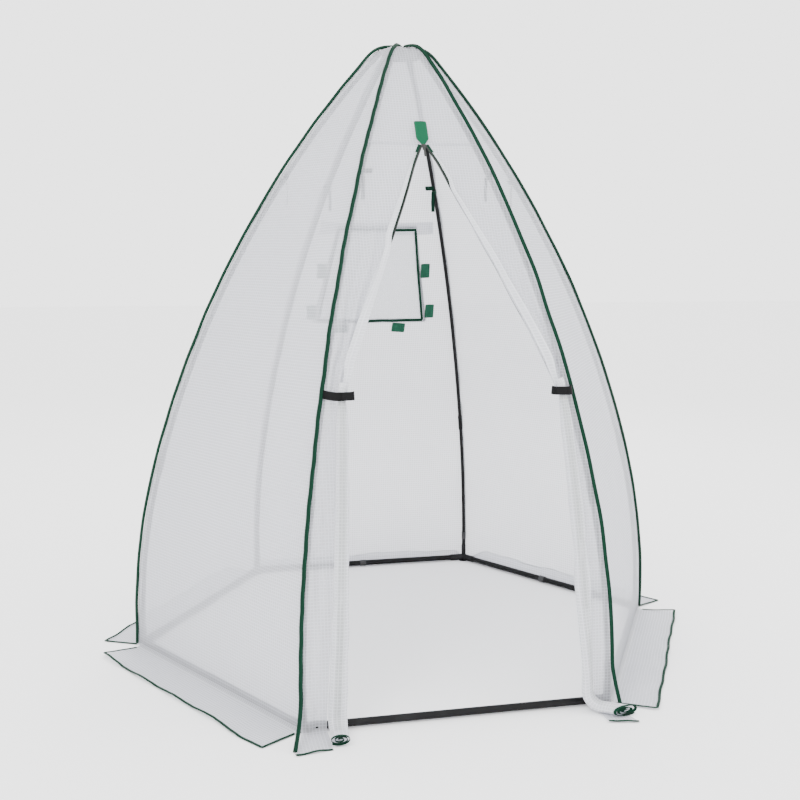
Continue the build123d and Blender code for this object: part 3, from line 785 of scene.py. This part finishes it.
def make_drape(door, cloth):
    """Cloth from the seam to the opening edge above the tie, drawn into soft folds towards the strap."""
    s = np.linspace(length_at(door.tie_z - 0.01), length_at(ZIP_TOP_Z) + 0.01, 110)[:, None]
    u = np.linspace(0, 1, 40)[None, :]
    z = height_at(s)
    seam, edge = half_width(s), np.minimum(door.cloth_x(z), half_width(s) - 0.002)
    x = seam - (seam - edge) * u
    down = np.clip((ZIP_TOP_Z - z) / (ZIP_TOP_Z - door.tie_z), 0, 1)
    ripple = waves(300 + door.sign, 7, 0.06, 0.25)(x * 1.5, s * 0.5)
    folds = 0.009 * down**1.2 * np.sin(2 * math.pi * (2.6 * u**1.5 + 0.12 * ripple)) * np.sin(math.pi * u)
    lip = 0.006 * u**3 * np.minimum(1, 4 * down)
    under = -0.0012 * smooth((z - ZIP_TOP_Z + 0.012) / 0.012)
    out = CLOTH_IN + drape(0, s, x / seam) * (1 - u) + folds + 0.0016 * ripple * u * down + lip + under
    points = door.flip(surface(0, s, door.sign * x, out))
    uv = door.flip(flat_grid(door.sign * x, s))
    piece = cloth_grid(f"door_drape_{door.name}", points, uv, cloth)
    top, to_seam = swing_line(door)
    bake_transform(piece)
    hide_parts(f"door_panel_{door.name}")
    door.pole()


def make_edge_folds(door, cloth):
    """Cloth folded to and fro behind the opening edge above the tie."""
    s = np.linspace(length_at(door.tie_z - 0.004), length_at(ZIP_TOP_Z - 0.03), 90)[:, None]
    q = np.linspace(0, 1, 56)[None, :]
    z = height_at(s)
    down = np.clip((ZIP_TOP_Z - z) / (ZIP_TOP_Z - door.tie_z), 0, 1)
    pinch = 0.5 + 0.5 * smooth((z - door.tie_z) / 0.09)
    ripple = waves(320 + door.sign, 6, 0.1, 0.4)(q * 0.2, s)
    to_and_fro = 0.5 - 0.5 * np.cos(2 * math.pi * EDGE_FOLDS * q)
    width = (door.gather_w(z) + 0.004) * pinch * (1 + 0.1 * ripple)
    x = door.cloth_x(z) + width * to_and_fro * (1 - 0.18 * q)
    depth = (0.004 + 0.017 * down) * pinch
    out = 0.005 * np.minimum(1, 4 * down) + depth * q + 0.0012 * ripple
    points = surface(0, s, door.sign * x, out)
    uv = flat_grid(lengths(points[-20])[None, :], s)
    piece = cloth_grid(f"door_edge_folds_{door.name}", points, uv, cloth)
    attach(piece, f"door_edge_{door.name}")
    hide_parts(f"door_edge_{door.name}")


def make_zip_side(door, tape_stuff, tooth_stuff):
    """Zip tape and teeth down one opening edge: outside at the zip's top, then turned in behind the cloth."""
    z = np.linspace(ZIP_TOP_Z - 0.004, door.tie_z + 0.03, 200)
    turned = door.zip_turned(z)
    out = 0.0045 * np.minimum(1, (ZIP_TOP_Z - z) / 0.1 + 0.4) * (1 - turned) - 0.002 * turned
    edge = door.open_x(z) + 0.0078 + 0.003 * turned
    path = surface(0, length_at(z), door.sign * edge, out)
    wide = np.array([1.0, 0, 0])
    body = f"door_edge_{door.name}"
    ribbon = tape(f"zip_tape_{door.name}", path[::-1], wide, ZIP_TAPE_W, 0.0013, tape_stuff, crown=0.3)
    at = resample(path, ZIP_PITCH)
    along = unit(np.gradient(at, axis=0))
    forward = unit(np.cross(wide, along)) * -1
    centres = at + 0.0012 * forward - 0.0048 * door.sign * wide
    teeth = blocks(f"zip_teeth_{door.name}", centres, along, wide, forward, TOOTH_HALF, tooth_stuff)
    for made, slot in ((ribbon, "binding"), (teeth, "zip_metal")):
        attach(made, body)


def blocks(name, centres, along, wide, forward, half, material):
    """Row of small chamfered blocks."""
    ring = np.array([(-1, -0.6), (-0.6, -1), (0.6, -1), (1, -0.6), (1, 0.6), (0.6, 1), (-0.6, 1), (-1, 0.6)])
    wide = np.broadcast_to(wide, centres.shape)
    points, faces = [], []
    for depth in (-1, 1):
        layer = centres[:, None] + half[0] * ring[None, :, :1] * along[:, None]
        layer = layer + half[1] * ring[None, :, 1:] * wide[:, None]
        points.append(layer + depth * half[2] * forward[:, None])
    points = np.stack(points, 1).reshape(-1, 3)
    for i in range(len(centres)):
        a, b = 16 * i, 16 * i + 8
        for c in range(8):
            d = (c + 1) % 8
            faces.append((a + c, a + d, b + d, b + c))
        for base, order in ((a, -1), (b, 1)):
            for quad in ((0, 1, 2, 3), (0, 3, 4, 7), (4, 5, 6, 7)):
                faces.append(tuple(base + c for c in quad[::order]))
    faces = np.array(faces)
    return link_mesh(name, points, faces, points[faces][..., :2], material)


def slide_line(door):
    """Start and end of a slanted line between seam and roll."""
    tie_s = length_at(door.tie_z)
    seam_foot, seam_tie = half_width(0), half_width(tie_s)
    roll_foot = door.edge[0] + door.gather[0]
    roll_tie = door.open_x(door.tie_z) + door.gather_w(door.tie_z)
    slope = (seam_foot - seam_tie + roll_foot - roll_tie) / 2 / door.tie_z
    near = min(seam_foot, seam_tie + slope * door.tie_z)
    far = max(roll_foot, roll_tie + slope * door.tie_z)
    lean = np.array([door.sign, 0, slope])
    start = np.array([door.sign * near, 0, 0])
    return start, start + lean * (far - near) / (lean @ lean)


def make_strip(door, cloth, binding):
    """Flat cloth from the seam to the roll below the tie, which turns out over the ground as a hem."""
    far = -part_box(f"door_panel_{door.name}")[0].y
    foot_out = out_at(0) + CLOTH_IN
    wall = np.linspace(length_at(door.tie_z), 0.012, 70)
    ground = np.linspace(0.004, far - foot_out - 0.006, 16)
    u = np.linspace(0, 1, 22)[None, :]
    s = wall[:, None]
    z = height_at(s)
    seam, inner = half_width(s), door.open_x(z) + door.gather_w(z) - 0.008
    x = seam - (seam - inner) * u
    ripple = waves(340 + door.sign, 7, 0.04, 0.2)
    out = CLOTH_IN + drape(0, s, x / seam) * (1 - u) + 0.0022 * ripple(x * 2, s * 0.4) * np.sin(math.pi * u)
    upright = surface(0, s, door.sign * x, out)
    g = ground[:, None]
    share = g / ground[-1]
    corner = half_width(0) + (HEM_CORNER_X - half_width(0)) * share
    reach = foot_out + g - 0.018 * share * u
    x_low = corner - (corner - inner[-1]) * u
    z_low = 0.0016 + 0.011 * np.exp(-g / 0.006) + 0.0018 * (1 + ripple(x_low * 0.9, g)) * share
    flat = flat_grid(door.sign * x_low, -reach, z_low)
    points = door.flip(np.concatenate([upright, flat]))[::-1]
    v = np.concatenate([wall, -ground])[:, None]
    uv = door.flip(flat_grid(np.concatenate([x, x_low]) * door.sign, v))[::-1]
    piece = cloth_grid(f"door_strip_{door.name}", points, uv, cloth)
    hem = flat[-1] + np.array([0, 0, 0.0006])
    inward = np.array([0, 1.0, 0])
    hem = resample(hem, 0.006)
    edge = tape(f"door_hem_binding_{door.name}", hem, inward, EDGE_TAPE_W, EDGE_TAPE_T, binding)
    start, end = slide_line(door)
    for made in (piece, edge):
        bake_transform(made)
    lower_pole = door.pole().replace("upper", "lower")


def roll_path(door):
    """Middle line of the roll from above the strap to the end of its foot, with two section directions."""
    thick = slice_depth(door)
    radius = ROLL_BEND
    high_s, low_s = length_at(door.tie_z + 0.012), radius + thick / 2
    s = np.linspace(high_s, low_s, 120)
    z = height_at(s)
    middle = door.sign * (door.open_x(z) + door.gather_w(z) / 2)
    line = surface(0, s, middle, thick / 2 + 0.0015)
    end = np.array([*door.tail_end, thick / 2 + 0.003])
    ahead = unit((end - line[-1]) * np.array([1, 1, 0]))
    turn = smooth((0.42 - z) / 0.36)[:, None]
    out = unit(np.array([0, -1.0, 0]) * (1 - turn) + ahead * turn)
    angle = np.linspace(0, math.pi / 2, 14)[1:]
    bend = line[-1] + radius * (1 - np.cos(angle))[:, None] * ahead - radius * np.sin(angle)[:, None] * UP
    bend[:, 2] += (end[2] - bend[-1, 2]) * angle / angle[-1]
    tail = bend[-1] + (end - bend[-1]) * np.linspace(0, 1, 16)[1:, None]
    path = np.concatenate([line, bend, tail])
    turning = ahead * np.cos(angle)[:, None] + UP * np.sin(angle)[:, None]
    face = np.concatenate([out, turning, np.tile(UP, (len(tail), 1))])
    along = unit(np.gradient(path, axis=0))
    face = unit(face - (face * along).sum(1, keepdims=True) * along)
    side = np.cross(face, along)
    side = side * np.sign((side @ np.array([door.sign, 0, 0])).mean())
    return path, side, face, thick


def slice_depth(door):
    """Thickness of the roll's solid, read half way up."""
    low, high = slice_box(f"door_roll_{door.name}", door.tie_z / 2)
    return high[1] - low[1]


def slant_end(points, path):
    """Roll's rings with the last ones tilted so that its end faces the front."""
    ahead = unit(path[-1] - path[-3])
    normal = unit(0.25 * ahead + 0.75 * np.array([0, -1.0, 0]))
    share = smooth(np.linspace(0, 1, 14))[:, None]
    shift = -share * ((points[-14:] - path[-14:, None]) @ normal) / (ahead @ normal)
    return np.concatenate([points[:-14], points[-14:] + shift[..., None] * ahead])


def make_roll(door, cloth, binding, tape_stuff):
    """Rolled cloth below the strap. Its foot lies out over the ground with the bound hem as a spiral."""
    path, side, face, thick = roll_path(door)
    run = lengths(path)
    z = path[:, 2]
    width = np.interp(z, door.z, door.gather) * 1.02
    strap_z = (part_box(f"door_strap_{door.name}")[0].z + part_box(f"door_strap_{door.name}")[1].z) / 2
    pinch = 1 - 0.3 * np.exp(-(((z - strap_z) / 0.045) ** 2))
    q = np.linspace(0, 1, 74)[None, :]
    angle = -math.pi / 4 - 2 * math.pi * ROLL_TURNS * q
    spread = 1 - 0.84 * q
    lump = waves(360 + door.sign, 7, 0.09, 0.5)
    radius = spread * (1 + 0.07 * lump(q * 0.3, run[:, None]))
    across = radius * np.cos(angle) * (width * pinch)[:, None] / 2
    outward = radius * np.sin(angle) * (thick * pinch)[:, None] / 2
    points = path[:, None] + across[..., None] * side[:, None] + outward[..., None] * face[:, None]
    points = slant_end(points, path)
    points[..., 2] = np.maximum(points[..., 2], 0.003)
    uv = flat_grid(lengths(points[60])[None, :], run[:, None])
    piece = cloth_grid(f"door_roll_{door.name}_cloth", points, uv, cloth)
    ahead = unit(path[-1] - path[-3])
    rim = tape(f"door_roll_binding_{door.name}", points[-1], ahead, EDGE_TAPE_W, 0.0018, binding, crown=0.2)
    # Grey-green strip tucked inside the roll along its fold: painted shade that stands in for the shade in
    # the fold.
    fold_shade_line = points[6:-16, 16] - 0.0042 * face[6:-16]
    fold_shade_strip = tape(f"door_roll_zip_{door.name}", fold_shade_line, side[6:-16], 0.02, 0.0012, tape_stuff, crown=0.2)
    for made in (piece, rim, fold_shade_strip):
        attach(made, f"door_{door.name}")
    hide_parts(f"door_roll_{door.name}")


def make_strap(door, webbing, hooks):
    """Webbing from the seam, round the roll and across its front, with a hook-and-loop end."""
    node_name = f"door_strap_{door.name}"
    low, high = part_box(node_name)
    z = (low.z + high.z) / 2
    s = length_at(z)
    reach = np.abs([low.x, high.x])
    root = surface(0, s, door.sign * (half_width(s) - 0.002), 0.004)
    corner_x = door.open_x(door.tie_z) + door.gather_w(door.tie_z) + 0.005
    front_y = low.y + 0.002
    bend = np.array([door.sign * corner_x, front_y, z])
    tip = np.array([door.sign * reach.min(), front_y, z])
    tuck = tip + np.array([-door.sign * 0.004, 0.016, 0])
    slope = unit(surface(0, s + 0.01, 0.0, 0.0) - surface(0, s - 0.01, 0.0, 0.0))
    path = resample(rounded([root, bend, tip, tuck], 0.012), 0.003)
    path[:, 2] -= np.sin(np.linspace(0, math.pi, len(path))) * STRAP_SAG
    band = tape(f"{node_name}_webbing", path, slope, STRAP_W, STRAP_T, webbing, crown=0.15)
    grip_line = resample(np.array([bend + (tip - bend) * 0.35, tip + (bend - tip) * 0.06]), 0.003)
    grip_line = grip_line + np.array([0, -0.0022, -STRAP_SAG])
    cut = {"crown": 0.15, "end_round": 0.005}
    grip = tape(f"{node_name}_grip", grip_line, slope, STRAP_W - 0.0015, STRAP_T, hooks, **cut)
    for made in (band, grip):
        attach(made, f"strap_{door.name}")
    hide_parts(node_name)


def make_zip_top(patch, metal):
    """Patch over the zip's top, the slider and its pull."""
    low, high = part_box("zip_patch")
    s = np.linspace(length_at(low.z - 0.004), length_at(high.z), 40)
    path = surface(0, s, 0 * s, 0.0026)
    full = high.x - low.x
    width = full * np.clip(0.34 + 0.66 * smooth((s - s[0]) / 0.026), 0, 1)
    plate = tape("zip_patch_cloth", path, ACROSS, width, 0.0026, patch, crown=0.25, end_round=0.003)
    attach(plate, "frame")
    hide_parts("zip_patch")
    low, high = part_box("zip_slider")
    s = np.linspace(length_at(low.z), length_at(high.z), 30)
    share = np.linspace(0, 1, 30)
    path = surface(0, s, 0 * s, 0.0035 + 0.001 * np.sin(math.pi * share))
    width = (high.x - low.x) * (0.72 + 0.28 * smooth(share * 1.6))
    slider = tape("zip_slider_body", path, ACROSS, width, 0.006, metal, crown=0.5, end_round=0.003)
    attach(slider, "frame")
    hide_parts("zip_slider")
    low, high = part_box("zip_pull")
    s = np.linspace(length_at(low.z), length_at(high.z), 40)
    share = np.linspace(0, 1, 40)
    path = surface(0, s, 0 * s, 0.0088 - 0.0008 * np.sin(math.pi * share))
    width = (high.x - low.x) * (1 - 0.3 * smooth(share * 1.2))
    pull = tape("zip_pull_tab", path, ACROSS, width, 0.0022, metal, crown=0.5, end_round=0.0032)
    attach(pull, "zip_pull")
    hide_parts("zip_pull")


# ---------------------------------------------------------------- window, ties


def on_back(s, x, out):
    """Points on the back gore's cloth as it hangs, moved out from it."""
    return surface(3, s, x, out + drape(3, s, x / half_width(s)))


def back_loop(foot_z, top_z, foot_half, top_half, out, step=0.006):
    """Closed outline on the back gore, as a path that ends where it starts."""
    corners = [(-foot_half, foot_z), (foot_half, foot_z), (top_half, top_z), (-top_half, top_z)]
    flat = []
    for (x0, z0), (x1, z1) in zip(corners, corners[1:] + corners[:1]):
        count = int(math.hypot(x1 - x0, z1 - z0) / step)
        for t in np.linspace(0, 1, count, endpoint=False):
            flat.append((x0 + (x1 - x0) * t, z0 + (z1 - z0) * t))
    flat.append(flat[0])
    flat = np.array(flat)
    path = on_back(length_at(flat[:, 1]), flat[:, 0], out)
    away = side_axes(3)[0]
    middle = on_back(length_at((foot_z + top_z) / 2), 0.0, out)
    inward = np.cross(np.gradient(path, axis=0), away)
    inward = inward * np.sign((inward * (middle - path)).sum(1, keepdims=True) + 1e-12)
    return path, inward


def back_panel(name, foot_z, top_z, foot_half, top_half, out, material, bulge=0.0, rows=44, cols=44):
    s = np.linspace(length_at(foot_z), length_at(top_z), rows)[:, None]
    v = np.linspace(-1, 1, cols)[None, :]
    half = foot_half + (top_half - foot_half) * (s - s[0]) / (s[-1] - s[0])
    x = v * half
    ripple = waves(400 + rows, 6, 0.08, 0.3)(x, s)
    rise = (s - s[0]) / (s[-1] - s[0])
    swell = bulge * (1 - v**2) * np.sin(math.pi * rise) * (1 + 0.4 * ripple)
    points = on_back(s, x, out + swell)
    return cloth_grid(name, points, flat_grid(x, s), material), points


def make_window(cloth, mesh_stuff, binding, tab_stuff):
    foot_z, top_z, foot_half, top_half = window_edge()
    opening = (foot_z, top_z, foot_half, top_half)
    screen, points = back_panel("window_screen_mesh", *opening, SCREEN_IN, mesh_stuff, bulge=0.002)
    middle = (foot_z + TRIM_MID, top_z - TRIM_MID, foot_half - TRIM_MID, top_half - TRIM_MID)
    path, inward = back_loop(*middle, TRIM_IN)
    trim = tape("window_trim_tape", path, inward, 0.01, 0.0024, binding)
    for made in (screen, trim):
        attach(made, "frame")
    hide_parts("window_screen")
    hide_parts("window_trim")
    low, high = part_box("window_flap")
    ends = [slice_box("window_flap", z)[1][0] for z in (low.z + 0.002, high.z - 0.002)]
    outline = (low.z + 0.004, high.z - FLAP_TRIM, ends[0] - FLAP_TRIM, ends[1] - FLAP_TRIM)
    flap, points = back_panel("window_flap_cloth", *outline, 0.0022, cloth, bulge=0.003)
    path, inward = back_loop(*outline, 0.0026)
    edge = tape("window_flap_binding", path, inward, EDGE_TAPE_W, EDGE_TAPE_T, binding)
    for made in (flap, edge):
        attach(made, "window_flap")
    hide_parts("window_flap")
    band_foot = high.z - 0.032
    band_half = half_width(length_at(band_foot)) * 0.86
    outline = (band_foot, high.z + 0.014, band_half, band_half * 0.97)
    band, points = back_panel("window_header_band", *outline, -0.0022, cloth, rows=12, cols=60)
    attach(band, "frame")
    make_tabs(tab_stuff)


def make_tabs(material):
    """Hook-and-loop tabs round the window, one at each solid of the CAD group."""
    rest = node_points("window_tabs")
    places = []
    while len(rest):
        near = np.linalg.norm(rest - rest[0], axis=1) < TAB_REACH
        places.append((rest[near].min(0), rest[near].max(0)))
        rest = rest[~near]
    made = []
    for low, high in places:
        middle = (low + high) / 2
        s = np.linspace(length_at(low[2]), length_at(high[2]), 30)
        lean = 0.08 * np.sin(9 * middle[0] + 4 * middle[2]) * (s - s.mean())
        path = on_back(s, -middle[0] + lean, TABS_IN)
        width, name = high[0] - low[0], f"window_tab_{len(made) + 1}"
        tab = tape(name, path, side_axes(3)[1], width, 0.0026, material, crown=0.2, end_round=0.003)
        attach(tab, "frame")
        made.append(tab)
    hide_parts("window_tabs")


def make_tie(k, material):
    """Tie that hangs from the loop on a pole, with a folded stub beside the pole."""
    low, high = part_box(f"tie_{k + 1}")
    top = np.array([(low.x + high.x) / 2, (low.y + high.y) / 2, high.z])
    away = corner_dir(k)
    side = np.cross(UP, away)
    drop = high.z - low.z
    bend = top - away * 0.002 - UP * drop * 0.5 + side * 0.001
    tip = top - away * 0.0005 - UP * drop
    corners = [top + away * 0.0008 - 0.001 * UP, top - 0.004 * UP, bend, tip]
    root = top - away * 0.002 + UP * 0.012
    stub = resample(np.array([root - side * 0.004, root + side * 0.03]), 0.003)
    slope = unit(UP - 0.65 * away)
    tab = tape(f"tie_{k + 1}_loop_end", stub, slope, STUB_W, 0.0022, material, crown=0.2, end_round=0.002)
    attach(tab, "frame")
    path = resample(rounded(corners, 0.02), 0.003)
    strip = tape(f"tie_{k + 1}_strip", path, side, TIE_STRIP_W, 0.0013, material, crown=0.2)
    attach(strip, f"tie_{k + 1}")
    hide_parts(f"tie_{k + 1}")


# ---------------------------------------------------------------- build

add_camera()
add_studio()
add_floor()

CLOTH = cloth_material("cover_film", 0.62, 0.9)
TAPE = tape_material("binding_tape", TAPE_GREEN, thread=THREAD_GREEN)
EDGE_TAPE = tape_material("edge_tape", TAPE_GREEN, thread=THREAD_GREEN, edge=0.003)
STEEL = coated_material("powder_coat", BLACK, 0.42, 700.0, 0.0004, coat=0.1)
PLASTIC = coated_material("moulded_black", (0.014, 0.014, 0.015, 1), 0.55, 1300.0, 0.0006)
ZINC = coated_material("zip_paint", (0.02, 0.022, 0.02, 1), 0.35, 900.0, 0.0002, coat=0.3)
LOOPS = loop_material("loop_tape")
# Cloth of the roll and the edge folds: the cover's film with its base colour painted lighter, to offset the
# shade inside its folded layers.
FOLDED_PAINTED_LIGHTER = cloth_material("cover_film_folded", 0.72, 0.92, colour=(0.82, 0.83, 0.86, 1))
SCREEN = screen_material("insect_mesh")
PATCH = tape_material("patch_weave", PATCH_GREEN, rib=0.0016, thread=(0.01, 0.13, 0.06, 1), edge=0.0165)
HOOK_THREAD = (0.03, 0.12, 0.07, 1)
TABS = tape_material("hook_tab", TAB_GREEN, rib=0.0022, thread=HOOK_THREAD, edge=0.0095, roughness=0.85)
TIE_TAPE = tape_material("tie_tape", TAPE_GREEN, rib=0.0013)
# Grey-green colour of the painted shade strip inside the roll's fold.
ROLL_FOLD_SHADE = tape_material("zip_tape_grey", (0.05, 0.085, 0.07, 1), rib=0.004)
WEBBING = tape_material("black_webbing", BLACK, rib=0.002, thread=(0.012, 0.012, 0.013, 1), edge=0.0105)
HOOKS = tape_material("hook_end", (0.006, 0.006, 0.0065, 1), rib=0.003, roughness=0.9)

for side, label in GORES.items():
    if label == "back":
        make_back_gore(CLOTH)
    else:
        make_gore(side, label, CLOTH)
    make_skirt(side, label, CLOTH, EDGE_TAPE)
make_top_panel(CLOTH)
make_seam_bindings(TAPE)
for label in ("left", "right"):
    half = Door(label)
    make_drape(half, CLOTH)
    make_edge_folds(half, FOLDED_PAINTED_LIGHTER)
    make_zip_side(half, TAPE, ZINC)
    make_strip(half, CLOTH, EDGE_TAPE)
    make_strap(half, WEBBING, HOOKS)
    make_roll(half, FOLDED_PAINTED_LIGHTER, EDGE_TAPE, ROLL_FOLD_SHADE)
make_zip_top(PATCH, ZINC)
make_window(CLOTH, SCREEN, EDGE_TAPE, TABS)
for corner in range(SIDES):
    make_tie(corner, TIE_TAPE)

NODE_MATERIALS = {
    "base_tube": STEEL,
    "pole_lower": STEEL,
    "pole_upper": STEEL,
    "corner_connector": PLASTIC,
    "crown_hub": PLASTIC,
    "pole_loops": LOOPS,
    "tube_wraps": LOOPS,
}
for label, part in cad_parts.items():
    for start, material in NODE_MATERIALS.items():
        if label.startswith(start):
            part.data.materials.clear()
            part.data.materials.append(material)
